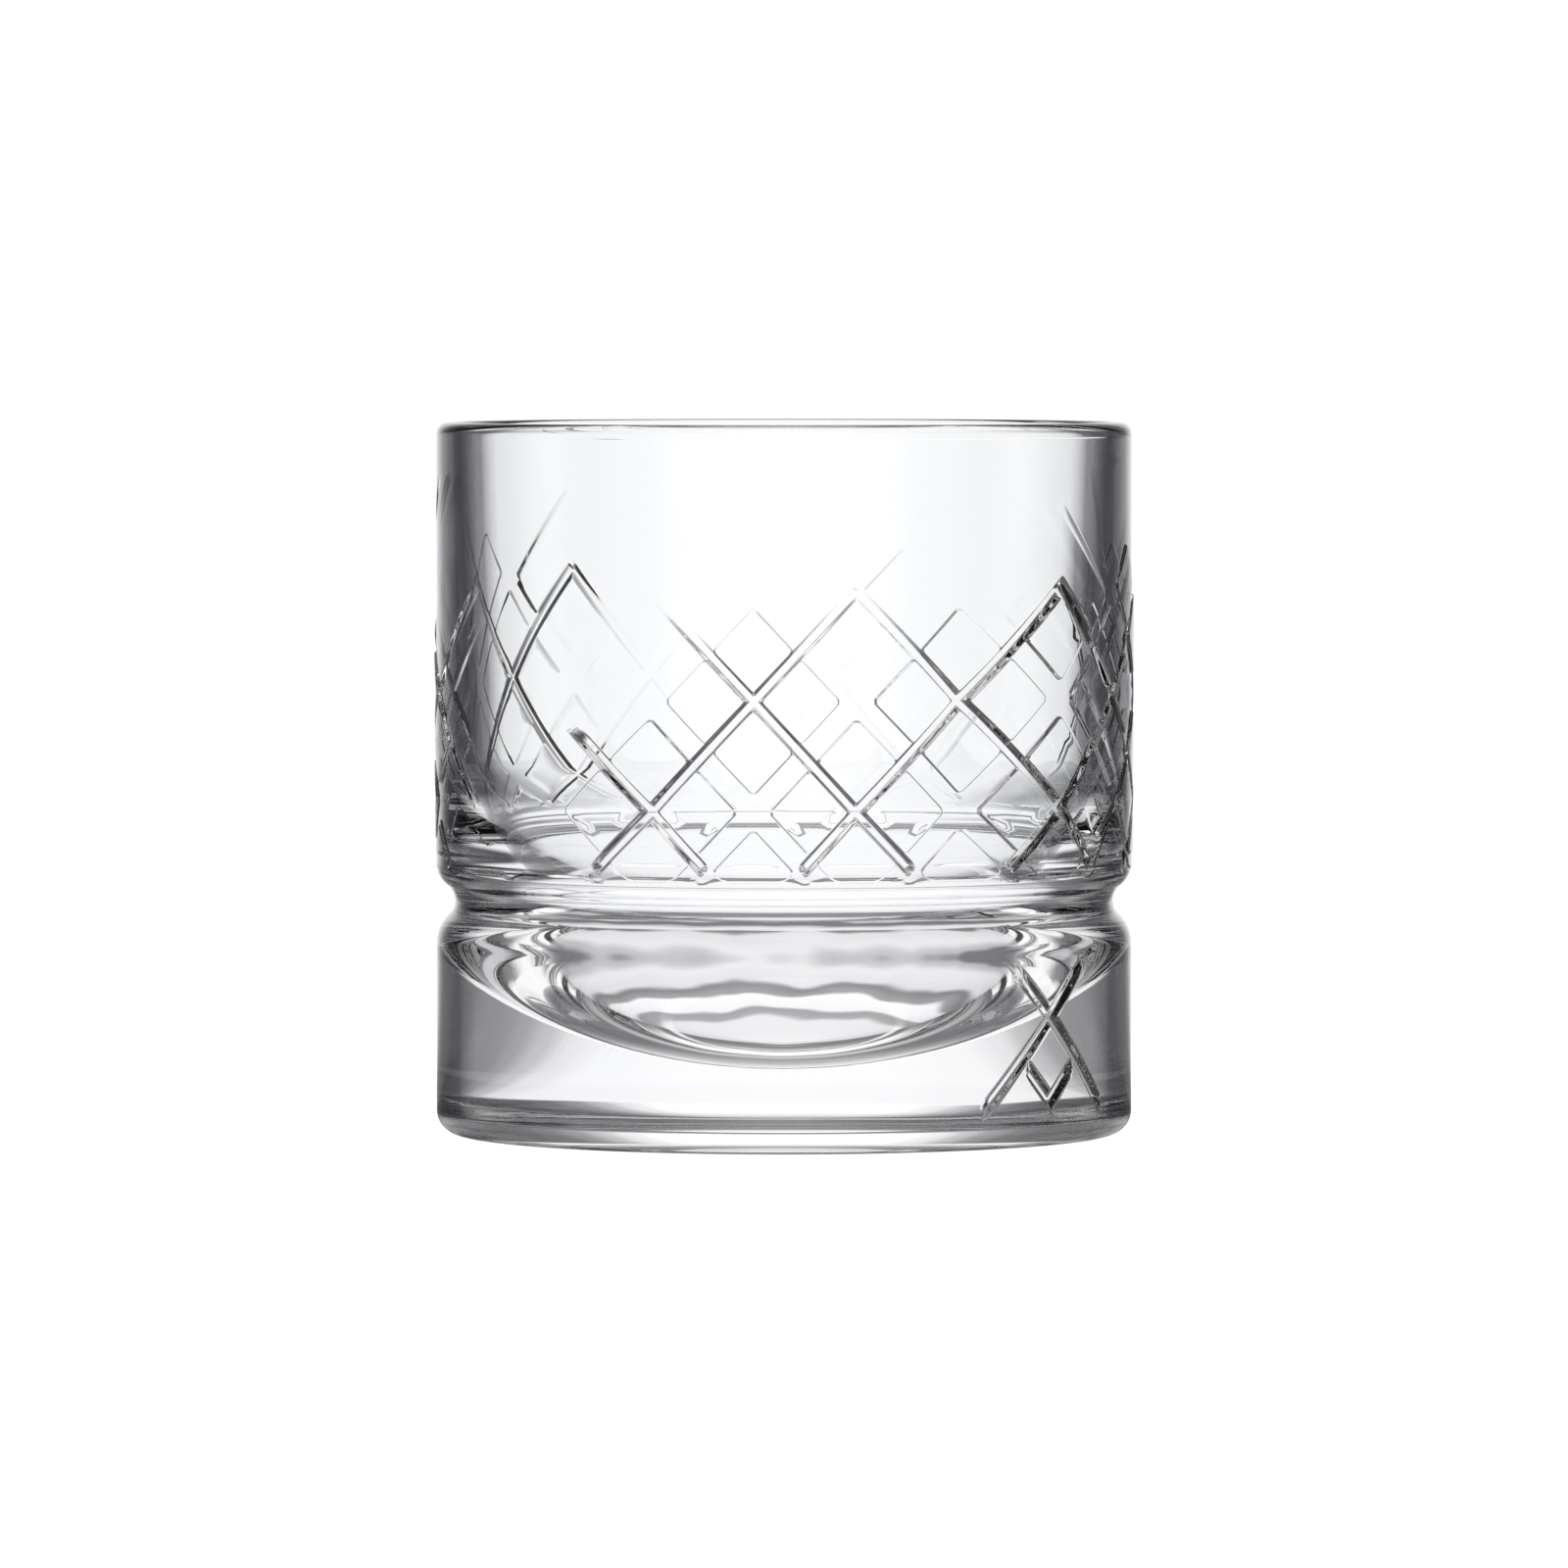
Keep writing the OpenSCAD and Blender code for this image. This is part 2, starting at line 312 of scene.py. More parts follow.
def diamonds(u, v, z, edge):
    """Height of the raised diamonds, whose edges are that wide, at lattice lines u and v."""
    k, l = np.floor(u).astype(int), np.floor(v).astype(int)
    du, dv = (u - k) * CELL, (v - l) * CELL
    gap_u0 = np.where(k % 2 == 0, NARROW_GAP, WIDE_GAP)
    gap_u1 = np.where(k % 2 == 0, WIDE_GAP, NARROW_GAP)
    gap_v0 = np.where(l % 2 == 0, NARROW_GAP, WIDE_GAP)
    gap_v1 = np.where(l % 2 == 0, WIDE_GAP, NARROW_GAP)
    ex = np.minimum(du - gap_u0, CELL - du - gap_u1)
    ey = np.minimum(dv - gap_v0, CELL - dv - gap_v1)
    d = corner_distance(ex, ey, PAD_CORNER)
    lowest = k - l == -1
    rise = edge * np.where(lowest, LOW_RISE, 1)
    inset = np.where(lowest, LOW_INSET, 0)
    low_step = ramp_up(corner_distance(d, z - BAND_Z, PAD_CORNER) / rise)
    high_step = ramp_up(corner_distance(d - inset, z - BEVEL_Z, PAD_CORNER) / rise)
    # the diamonds level with the lowest crossings dip below a curved crease
    across = (u + v - k - l - 1) / 2 * CELL_WIDE
    crease = ROW_Z - CREASE_DROP * (1 - (across / CREASE_HALF) ** 2)
    dip = np.where(k == l, DIP * step((crease - z) / 0.9), 0)
    row = np.clip(k - l - FIRST_PAD_ROW, 0, PAD_ROWS - 1)
    amp = pad_amp[(k + l + 1) % (2 * HALF_COLUMNS), row]
    amp = np.where((k - l >= -1) & (k - l <= 8), amp, 0)
    crown = (PAD_H - PAD_FACE) * step(np.minimum(d, z - BEVEL_Z) / CROWN_RUN)
    return amp * (PAD_FACE * (0.5 * low_step + 0.5 * high_step) + crown - dip)


def channels(u, v, half, flat):
    """Depth of the channels on the even lines, from 0 to 1."""
    ku, kv = 2 * np.round(u / 2), 2 * np.round(v / 2)
    tu, tv = np.abs(u - ku) * CELL / half, np.abs(v - kv) * CELL / half
    cu = channel_amp(ku, v, 0) * (1 - ramp_up((tu - flat) / (1 - flat)))
    cv = channel_amp(kv, u, 1) * (1 - ramp_up((tv - flat) / (1 - flat)))
    return np.maximum(cu, cv)


def ledge(i, z):
    """Depth of the shallow ledge that ends the band."""
    foot = np.abs(((i + 0.5 + 1) % 2) - 1) * CELL_WIDE / CUSP_HALF
    foot = np.minimum(foot, np.abs(((i - 0.5 + 1) % 2) - 1) * CELL_WIDE / CUSP_HALF)
    ledge_z = LEDGE_Z - CUSP_DROP * np.exp(-(foot**2))
    return LEDGE_DEPTH * step((z - ledge_z) / 0.4) * step((z - 31.2) / 0.6) * step((56 - z) / 20)


def relief(angle, z):
    """Height of the pressed pattern over the plain wall, with soft edges at the back."""
    back = backness(angle)
    edge = PAD_EDGE + (BACK_EDGE - PAD_EDGE) * back
    half = CHANNEL_HALF + (BACK_HALF - CHANNEL_HALF) * back
    flat = CHANNEL_FLOOR * (1 - 0.6 * back)
    i = column_at(angle)
    j = (z - ROW_Z) / ROW_PITCH
    u, v = i + j, i - j
    turn = PERIOD * np.floor(i / PERIOD)
    h = np.maximum(diamonds(u, v, z, edge), PAD_H * plateau(u - turn, v - turn))
    h = h - CHANNEL_DEPTH * channels(u, v, half, flat)
    h = h - ledge(i, z)
    away = np.abs(angle % 360 - 180)
    h = h * (1 - 0.3 * back) * (1 - 0.75 * step((FAINT_SPREAD - away) / FAINT_FADE))
    return np.where((z > BAND_LO) & (z < BAND_HI), h, 0)


def star(angle, z):
    """Depth of the star: a long cross with a V under it, all of slanted cuts."""
    s = np.radians(angle - STAR_ANGLE) * WALL_R
    t = z - STAR_Z
    cut = np.zeros_like(s)
    for direction, offset, s0, s1, fade0, fade1 in (
        (1, 0.0, -10.5, 6.5, 0.8, 2.5),
        (-1, 0.0, -5.5, 10.5, 2.0, 0.9),
        (1, -STAR_DROP, 0.0, 4.0, 0.3, 0.9),
        (-1, -STAR_DROP, -4.0, 0.0, 0.9, 0.3),
    ):
        off = np.abs(t - offset - direction * s) / math.sqrt(2)
        along = step((s - s0 + 0.3) / fade0) * step((s1 + 0.3 - s) / fade1)
        cut = np.maximum(cut, along * (1 - ramp_up((off / STAR_HALF - STAR_FLOOR) / (1 - STAR_FLOOR))))
    return -STAR_DEPTH * cut


def mould_line(angle, z):
    """The fine raised line just under the rim."""
    strength = 0.45 + 0.55 * np.cos(np.radians(angle - 50))
    return 0.035 * np.exp(-(((z - MOULD_LINE_Z) / 0.16) ** 2)) * strength


def waves(angle, z, amount, seed):
    """Slow unevenness of pressed glass."""
    rng = np.random.default_rng(seed)
    a = np.radians(angle)
    out = np.zeros_like(z)
    for _ in range(7):
        around = rng.integers(2, 11)
        up = rng.uniform(0.05, 0.22)
        p1, p2 = rng.uniform(0, 2 * math.pi, 2)
        rise = np.sin(up * z + p2)
        out += np.cos(around * a + p1 + 0.6 * rise) * rise / (1 + 0.25 * around)
    return amount * out


def ripples(angle, z):
    """The bowl's low wall is less even: ripples that lean this way and that."""
    a = np.radians(angle)
    lean = 0.09 * z
    fine = np.cos(13 * a + lean + 0.7 * np.sin(3 * a)) * np.cos(0.35 * z)
    broad = 0.8 * np.cos(9 * a - 2 * lean + 1.3) * np.sin(0.5 * z)
    return 0.028 * (fine + broad)


def outer_r(angle, z):
    """Radius of the outside wall with everything that is pressed or cut into it."""
    r = outline_r(z) + relief(angle, z) + mould_line(angle, z)
    near = (z > STAR_LO) & (z < STAR_HI)
    r = r + np.where(near, star(angle, z), 0)
    return r + waves(angle, z, WAVES_OUT, 3) * step((z - 4) / 3) * step((83 - z) / 3)


def outer_points(angle, z):
    """Points and normals of the outside wall."""
    angle, z = np.asarray(angle, float), np.asarray(z, float)
    e = 0.02
    de = math.degrees(e / WALL_R)
    r = outer_r(angle, z)
    dz = (outer_r(angle, z + e) - outer_r(angle, z - e)) / (2 * e)
    da = (outer_r(angle + de, z) - outer_r(angle - de, z)) / (2 * e)
    a = np.radians(angle)
    sa, ca = np.sin(a), np.cos(a)
    p = np.stack([r * sa, -r * ca, z], 1)
    n = np.stack([sa - da * ca, -ca - da * sa, -dz], 1)
    return p, n / np.linalg.norm(n, axis=1)[:, None]


def turned_points(angle, r, z, nr, nz, dent=0.0):
    """Points of a turned surface, moved along its normal by dent."""
    a = np.radians(angle)
    r, z, nr, nz = (np.broadcast_to(np.asarray(x, float), a.shape) for x in (r, z, nr, nz))
    r = r + nr * dent
    z = z + nz * dent
    sa, ca = np.sin(a), np.cos(a)
    return np.stack([r * sa, -r * ca, z], 1), np.stack([nr * sa, -nr * ca, nz], 1)


# ---------------------------------------------------------------- mesh assembly
points, normals, faces = [], [], []


def add(p, n):
    """Keeps new points with their normals and gives back their numbers."""
    start = sum(len(x) for x in points)
    points.append(p)
    normals.append(n)
    return np.arange(start, start + len(p))


def band(a, b):
    """Quads between two rings of the same length."""
    a1, b1 = np.roll(a, -1), np.roll(b, -1)
    faces.extend(np.stack([a, a1, b1, b], 1).tolist())


def zip_rings(a, ka, b, kb, closed=True):
    """Triangles between two rows of different lengths, matched by their keys."""
    oa, ob = np.argsort(ka), np.argsort(kb)
    a, ka, b, kb = a[oa], ka[oa], b[ob], kb[ob]
    if closed:
        a, ka = np.append(a, a[0]), np.append(ka, ka[0] + 360)
        b, kb = np.append(b, b[0]), np.append(kb, kb[0] + 360)
    i = j = 0
    while i < len(a) - 1 or j < len(b) - 1:
        if j == len(b) - 1 or (i < len(a) - 1 and ka[i + 1] + ka[i] <= kb[j + 1] + kb[j]):
            faces.append([a[i], a[i + 1], b[j]])
            i += 1
        else:
            faces.append([a[i], b[j + 1], b[j]])
            j += 1


ring_angle = -180 + np.arange(RING) * 360.0 / RING


def outer_ring(z):
    """A plain ring of the outside wall."""
    return add(*outer_points(ring_angle, np.full(RING, z)))


def kept_quads(verts, quads, planes):
    """The part of a grid that some quads use, cut by planes."""
    used = np.unique(quads)
    remap = np.full(len(verts), -1)
    remap[used] = np.arange(len(used))
    return clipped(verts[used], remap[quads].tolist(), planes)


def clipped(verts, quads, planes):
    """A mesh cut by (point, normal, drop the far side) planes, as arrays."""
    bm = bmesh.new()
    bv = [bm.verts.new(v) for v in verts]
    for q in quads:
        bm.faces.new([bv[x] for x in q])
    for co, no, drop in planes:
        everything = bm.verts[:] + bm.edges[:] + bm.faces[:]
        bmesh.ops.bisect_plane(
            bm, geom=everything, dist=1e-4, plane_co=co, plane_no=no, clear_outer=drop
        )
    loose = [v for v in bm.verts if not v.link_faces]
    bmesh.ops.delete(bm, geom=loose, context="VERTS")
    bm.verts.index_update()
    out = np.array([v.co for v in bm.verts])
    fs = [[v.index for v in f.verts] for f in bm.faces]
    bm.free()
    return out, fs


def lattice_zone():
    """The diamond band: a grid along the lattice's own lines, cut level at both ends."""
    # over two cells: from a channel line to a wide line and back
    places = [0, 0.24, 0.36, 0.46, 0.56, 0.66, 0.78, 0.92, 1.3]
    places += [2.4, 4.2, 6.0, 7.1, 7.45, 7.58, 7.7, 7.82, 7.96, 8.4]
    lines = np.array([p / CELL for p in places] + [1 + (CELL - p) / CELL for p in [CELL] + places[:0:-1]])
    per_two = len(lines)
    total = per_two * HALF_COLUMNS // 2

    def line_value(n):
        """Lattice line of the n-th line of the grid."""
        return 2 * (n // per_two) + lines[n % per_two]

    low = int(2 * (ZONE_LO - ROW_Z) / ROW_PITCH * per_two / 2) - per_two // 2
    high = int(2 * (ZONE_HI - ROW_Z) / ROW_PITCH * per_two / 2) + per_two // 2
    d = np.arange(low, high)
    dd, bb = np.meshgrid(d, np.arange(total), indexing="ij")
    u, v = line_value(dd + bb), line_value(bb)
    z = ROW_Z + ROW_PITCH * (u - v) / 2
    a = np.radians(angle_of((u + v) / 2))
    verts = np.stack([WALL_R * np.sin(a), -WALL_R * np.cos(a), z], -1).reshape(-1, 3)
    ids = np.arange(verts.shape[0]).reshape(dd.shape)
    # the corners of a cell are (u,v), (u+1,v), (u+1,v+1), (u,v+1), and one line up in v is one less in d
    rows = np.arange(1, len(d) - 1)
    beside = np.roll(ids, -1, 1)
    q = np.stack([ids[rows], ids[rows + 1], beside[rows], beside[rows - 1]], -1).reshape(-1, 4)
    zq = verts[q][:, :, 2]
    q = q[(zq.max(1) > ZONE_LO) & (zq.min(1) < ZONE_HI)]
    planes = [((0, 0, ZONE_LO), (0, 0, -1), True), ((0, 0, ZONE_HI), (0, 0, 1), True)]
    planes += [((0, 0, zc), (0, 0, 1), False) for zc in CUTS]
    out, fs = kept_quads(verts, q, planes)
    angle = np.degrees(np.arctan2(out[:, 0], -out[:, 1]))
    ids = add(*outer_points(angle, out[:, 2]))
    faces.extend([[ids[x] for x in f] for f in fs])
    lo = np.abs(out[:, 2] - ZONE_LO) < 1e-3
    hi = np.abs(out[:, 2] - ZONE_HI) < 1e-3
    return (ids[lo], angle[lo]), (ids[hi], angle[hi])


def star_zone():
    """The plain base wall with a finer window for the star, cut along the star's own lines."""
    w0, w1 = STAR_WINDOW
    s0, s1 = (math.radians(w - STAR_ANGLE) * WALL_R for w in (w0, w1))
    half = [0.18, 0.36, 0.54, 0.72, 0.9, 1.1, 1.5]
    fine = np.array([-x for x in half[::-1]] + [0] + half)
    root2 = math.sqrt(2)
    plain = np.arange(-30, 30.1, 1.6)

    def lines(*at):
        """Places of the slanted grid lines, fine across each cut."""
        keep = [x for x in plain if all(abs(x - c) > 2.2 for c in at)]
        return np.sort(np.array(keep + [c + x * root2 for c in at for x in fine]))

    p = lines(0.0, -STAR_DROP)  # s + t
    q = lines(0.0, STAR_DROP)  # s - t
    pp, qq = np.meshgrid(p, q, indexing="ij")
    s, t = (pp + qq) / 2, (pp - qq) / 2
    verts = np.stack([s, np.zeros_like(s), t + STAR_Z], -1).reshape(-1, 3)
    ids = np.arange(len(verts)).reshape(pp.shape)
    quads = np.stack([ids[:-1, :-1], ids[1:, :-1], ids[1:, 1:], ids[:-1, 1:]], -1).reshape(-1, 4)
    vq = verts[quads]
    keep = (vq[:, :, 0].max(1) > s0) & (vq[:, :, 0].min(1) < s1)
    keep &= (vq[:, :, 2].max(1) > STAR_LO) & (vq[:, :, 2].min(1) < STAR_HI)
    planes = [
        ((s0, 0, 0), (-1, 0, 0), True), ((s1, 0, 0), (1, 0, 0), True),
        ((0, 0, STAR_LO), (0, 0, -1), True), ((0, 0, STAR_HI), (0, 0, 1), True),
    ]
    out, fs = kept_quads(verts, quads[keep], planes)
    angle = STAR_ANGLE + np.degrees(out[:, 0] / WALL_R)
    ids = add(*outer_points(angle, out[:, 2]))
    faces.extend([[ids[x] for x in f] for f in fs])
    edge = {
        "left": np.abs(out[:, 0] - s0) < 1e-3, "right": np.abs(out[:, 0] - s1) < 1e-3,
        "low": np.abs(out[:, 2] - STAR_LO) < 1e-3, "high": np.abs(out[:, 2] - STAR_HI) < 1e-3,
    }
    # the rest of the wall around, as a plain grid
    outside = ring_angle[(ring_angle < w0 - 0.1) | (ring_angle > w1 + 0.1)]
    outside = np.concatenate([outside[outside > w1], outside[outside < w0]])
    rows_z = np.linspace(STAR_LO, STAR_HI, 10)
    rows = [add(*outer_points(outside, np.full(len(outside), z))) for z in rows_z]
    for a, b in zip(rows, rows[1:]):
        faces.extend(np.stack([a[:-1], a[1:], b[1:], b[:-1]], 1).tolist())
    for name, column in (("right", 0), ("left", -1)):
        m = edge[name]
        zip_rings(np.array([r[column] for r in rows]), rows_z, ids[m], out[m, 2], closed=False)
    low = np.concatenate([rows[0], ids[edge["low"]]])
    high = np.concatenate([rows[-1], ids[edge["high"]]])
    low_key = np.concatenate([outside, angle[edge["low"]]])
    high_key = np.concatenate([outside, angle[edge["high"]]])
    return (low, low_key), (high, high_key)


def inner_wall():
    """Where the bowl's arc ends, the straight wall's slope and where it meets the rim."""
    rim_c = (WALL_R - RIM_R, GLASS_H - RIM_R)
    dx, dz = rim_c[0], rim_c[1] - BOWL_Z
    draft = math.acos((BOWL_R + RIM_R) / math.hypot(dx, dz)) - math.atan2(dz, dx)
    wall_n = (math.cos(draft), -math.sin(draft))
    arc_end = (BOWL_R * wall_n[0], BOWL_Z + BOWL_R * wall_n[1])
    rim_touch = (rim_c[0] - RIM_R * wall_n[0], rim_c[1] - RIM_R * wall_n[1])
    return rim_c, draft, arc_end, rim_touch


def fan(pole, ring, upward=False):
    """Triangles from one point to a whole ring."""
    pairs = zip(ring, np.roll(ring, -1))
    faces.extend([[pole, b, a] if upward else [pole, a, b] for a, b in pairs])


def under_foot():
    """The shallow hollow, the standing ring and the foot's rounding."""
    sphere_r = (PUNT_R**2 + PUNT_H**2) / (2 * PUNT_H)
    pole = add(np.array([[0, 0, PUNT_H]]), np.array([[0, 0, -1.0]]))
    last = None
    for r in (3, 7, 12, 17, 22, 27, 31, 34, 35.6):
        nr, nz = -r / sphere_r, -math.sqrt(1 - (r / sphere_r) ** 2)
        ring = add(*turned_points(ring_angle, r, PUNT_H - sphere_r - nz * sphere_r, nr, nz))
        if last is None:
            fan(pole[0], ring)
        else:
            band(last, ring)
        last = ring
    for r in (PUNT_R, PUNT_R + 0.5, WALL_R - FOOT_R):
        ring = add(*turned_points(ring_angle, r, 0.0, 0.0, -1.0))
        band(last, ring)
        last = ring
    for t in np.radians(np.linspace(0, 90, 11)[1:]):
        nr, nz = math.sin(t), -math.cos(t)
        ring = add(*turned_points(ring_angle, WALL_R - FOOT_R + FOOT_R * nr, FOOT_R + FOOT_R * nz, nr, nz))
        band(last, ring)
        last = ring
    ring = outer_ring(3.2)
    band(last, ring)
    return ring


def outer_rings(last, heights):
    """More rings of the outside wall, one over the other."""
    for z in heights:
        ring = outer_ring(z)
        band(last, ring)
        last = ring
    return last


def waist_heights():
    """Heights of the rings over the lower shoulder, the groove and the upper shoulder."""
    parts = (0.08, 0.25, 0.42, 0.58, 0.74, 0.88, 1.0)
    heights = [LOWER_C[1] + (LOWER_TOUCH - LOWER_C[1]) * t for t in parts]
    swing = math.degrees(math.asin((GROOVE_Z - LOWER_TOUCH) / GROOVE_R))
    swing_up = math.degrees(math.asin((UPPER_TOUCH - GROOVE_Z) / GROOVE_R))
    turns = np.linspace(-swing, swing_up, 17)[1:]
    heights += [GROOVE_Z + GROOVE_R * math.sin(math.radians(t)) for t in turns]
    heights += [UPPER_TOUCH + (ZONE_LO - 0.25 - UPPER_TOUCH) * t for t in (0.2, 0.4, 0.6, 0.8, 1.0)]
    return heights


def rim_and_bowl(last):
    """The round rim, the straight inside wall and the round bottom of the bowl."""
    rim_c, draft, arc_end, rim_touch = inner_wall()
    for t in np.linspace(0, 180 - math.degrees(draft), 19)[1:]:
        nr, nz = math.cos(math.radians(t)), math.sin(math.radians(t))
        ring = add(*turned_points(ring_angle, rim_c[0] + RIM_R * nr, rim_c[1] + RIM_R * nz, nr, nz))
        band(last, ring)
        last = ring
    wn = (-math.cos(draft), math.sin(draft))
    for t in np.linspace(0, 1, 21)[1:]:
        r = rim_touch[0] + (arc_end[0] - rim_touch[0]) * t
        z = rim_touch[1] + (arc_end[1] - rim_touch[1]) * t
        dent = waves(ring_angle, np.full(RING, z), WAVES_IN, 11) * min(t * 4, 1)
        ring = add(*turned_points(ring_angle, r, z, wn[0], wn[1], dent))
        band(last, ring)
        last = ring
    for t in np.linspace(-math.degrees(draft), -88, 34)[1:]:
        nr, nz = -math.cos(math.radians(t)), -math.sin(math.radians(t))
        z = BOWL_Z - BOWL_R * nz
        low = min(1, max(0, (BOWL_Z - z) / 20))
        dent = waves(ring_angle, np.full(RING, z), WAVES_IN, 11) + low * ripples(ring_angle, z)
        dent = dent * min(1, (90 + t) / 30)
        ring = add(*turned_points(ring_angle, -BOWL_R * nr, z, nr, nz, dent))
        band(last, ring)
        last = ring
    pole = add(np.array([[0, 0, BASE_T]]), np.array([[0, 0, 1.0]]))
    fan(pole[0], last, upward=True)


def build():
    """The whole skin of the glass, from the middle of its underside round to the bowl's floor."""
    last = under_foot()
    low, high = star_zone()
    zip_rings(last, ring_angle, *low)
    last = outer_ring(22.95)
    zip_rings(last, ring_angle, *high)
    last = outer_rings(last, waist_heights())
    low, high = lattice_zone()
    zip_rings(last, ring_angle, *low)
    # plain wall to the rim, with the mould line
    last = outer_ring(ZONE_HI + 0.4)
    zip_rings(last, ring_angle, *high)
    near_line = [82, 83.2, MOULD_LINE_Z - 0.4] + [MOULD_LINE_Z + 0.08 * t for t in range(-3, 3)]
    last = outer_rings(last, [z for z in near_line if z < GLASS_H - RIM_R - 0.01])
    rim_and_bowl(last)


build()
co = np.concatenate(points) * MM
nor = np.concatenate(normals)
mesh = bpy.data.meshes.new("tumbler_glass")
mesh.from_pydata(co.tolist(), [], [[int(x) for x in f] for f in faces])
bm = bmesh.new()
bm.from_mesh(mesh)
bmesh.ops.recalc_face_normals(bm, faces=bm.faces[:])
open_edges = sum(1 for e in bm.edges if len(e.link_faces) != 2)
bm.to_mesh(mesh)
bm.free()
mesh.polygons.foreach_set("use_smooth", [True] * len(mesh.polygons))
mesh.update()
mesh.normals_split_custom_set_from_vertices(nor.tolist())
triangles = sum(len(p.vertices) - 2 for p in mesh.polygons)
print("tumbler_glass:", len(mesh.vertices), "points,", triangles, "triangles,", open_edges, "open edges")
glass = bpy.data.objects.new("tumbler_glass", mesh)
bpy.context.scene.collection.objects.link(glass)


# ---------------------------------------------------------------- material
GLASS_IOR = 1.52
# colour of the glass by how far it is seen edge on: painted shade that darkens its edges and lines
PAINTED_EDGE_SHADE = ((0.54, (1, 1, 1, 1)), (0.65, (0.14, 0.14, 0.155, 1)), (0.8, (0.06, 0.06, 0.07, 1)))
ROUGHEST = 0.006
RIPPLE_HEIGHT = 0.000006


def glass_material():
    """Clear fire-polished glass with a faint tint, and painted shade that darkens it where it is seen edge
    on.
    """
    mat = bpy.data.materials.new("pressed_glass")
    mat.use_nodes = True
    nt = mat.node_tree
    shader = nt.nodes["Principled BSDF"]
    shader.inputs["Transmission Weight"].default_value = 1.0
    shader.inputs["IOR"].default_value = GLASS_IOR
    coord = nt.nodes.new("ShaderNodeTexCoord")

    def noise(scale, detail):
        n = nt.nodes.new("ShaderNodeTexNoise")
        n.inputs["Scale"].default_value = scale
        n.inputs["Detail"].default_value = detail
        nt.links.new(coord.outputs["Object"], n.inputs["Vector"])
        return n

    # the faintest cool tint, uneven as in thick pressed glass
    tint = nt.nodes.new("ShaderNodeValToRGB")
    tint.color_ramp.elements[0].color = (0.975, 0.982, 0.99, 1)
    tint.color_ramp.elements[1].color = (0.99, 0.993, 0.996, 1)
    nt.links.new(noise(35, 2).outputs["Fac"], tint.inputs["Fac"])
    # painted shade: the colour goes dark where the glass is seen edge on, in place of the dark edges and
    # lines that it shows
    edge = nt.nodes.new("ShaderNodeLayerWeight")
    edge.inputs["Blend"].default_value = 0.5
    edge_shade = nt.nodes.new("ShaderNodeValToRGB")
    edge_shade.color_ramp.elements.new(PAINTED_EDGE_SHADE[1][0])
    for element, (place, shade) in zip(edge_shade.color_ramp.elements, PAINTED_EDGE_SHADE):
        element.position = place
        element.color = shade
    nt.links.new(edge.outputs["Facing"], edge_shade.inputs["Fac"])
    both = nt.nodes.new("ShaderNodeMix")
    both.data_type = "RGBA"
    both.blend_type = "MULTIPLY"
    both.inputs["Factor"].default_value = 1.0
    nt.links.new(tint.outputs["Color"], both.inputs[6])
    nt.links.new(edge_shade.outputs["Color"], both.inputs[7])
    nt.links.new(both.outputs[2], shader.inputs["Base Color"])
    # fire-polished: nearly perfectly smooth, with patches a little less so
    polish = nt.nodes.new("ShaderNodeMapRange")
    polish.inputs["From Min"].default_value = 0.45
    polish.inputs["From Max"].default_value = 0.75
    polish.inputs["To Min"].default_value = 0.0
    polish.inputs["To Max"].default_value = ROUGHEST
    nt.links.new(noise(90, 3).outputs["Fac"], polish.inputs["Value"])
    nt.links.new(polish.outputs["Result"], shader.inputs["Roughness"])
    # mould ripple
    bump = nt.nodes.new("ShaderNodeBump")
    bump.inputs["Strength"].default_value = 0.5
    bump.inputs["Distance"].default_value = RIPPLE_HEIGHT
    nt.links.new(noise(110, 1).outputs["Fac"], bump.inputs["Height"])
    nt.links.new(bump.outputs["Normal"], shader.inputs["Normal"])
    return mat


mesh.materials.append(glass_material())
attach(glass, "root")
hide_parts("glass_body")

# ---------------------------------------------------------------- floor and light
FLOOR_R = 0.45
FLOOR_DROP = 0.0002  # the floor is this far under the glass, so that their faces don't meet
FLOOR_LIGHT, ROOM_LIGHT = 1.08, 1.1
WHITE = (1, 1, 1, 1)
TABLE_WHITE = (0.97, 0.97, 0.975, 1)
SKY_GREY = (0.16, 0.16, 0.165, 1)
DEGREE = 180 / math.pi
# brightness round the room, by degrees from straight behind the glass
WORLD_STOPS = [
    (0, 1.0), (14, 1.0), (19, 0.8), (23, 0.5), (27, 0.28), (33, 0.14), (40, 0.07), (50, 0.03),
    (80, 0.05), (85, 0.42), (95, 0.42), (100, 0.05), (125, 0.25), (150, 0.7), (170, 1.0),
]
# how far the room gives way to the grey sky, by degrees up
SKY_STOPS = [(0, 0), (10, 0), (26, 0.4), (38, 0.7), (60, 1.0)]
# painted shade: brightness of the table away from the glass as rays through the glass see it, by degrees
# as above
TABLE_SHADE_STOPS = [
    (0, 0.98), (10, 0.96), (15, 0.7), (20, 0.4), (26, 0.22), (50, 0.12), (72, 0.1), (84, 0.4),
    (96, 0.4), (112, 0.2), (140, 0.6), (165, 1.0),
]
# and of its painted sheen: the room's brightness painted onto the table at a grazing look, in place of a
# reflection
PAINTED_SHEEN_STOPS = [
    (0, 0.93), (14, 0.91), (20, 0.78), (24, 0.52), (29, 0.32), (33, 0.25), (39, 0.22), (48, 0.12),
    (58, 0.09), (78, 0.09), (84, 0.3), (96, 0.3), (102, 0.12), (130, 0.4), (150, 0.9), (180, 1.0),
]
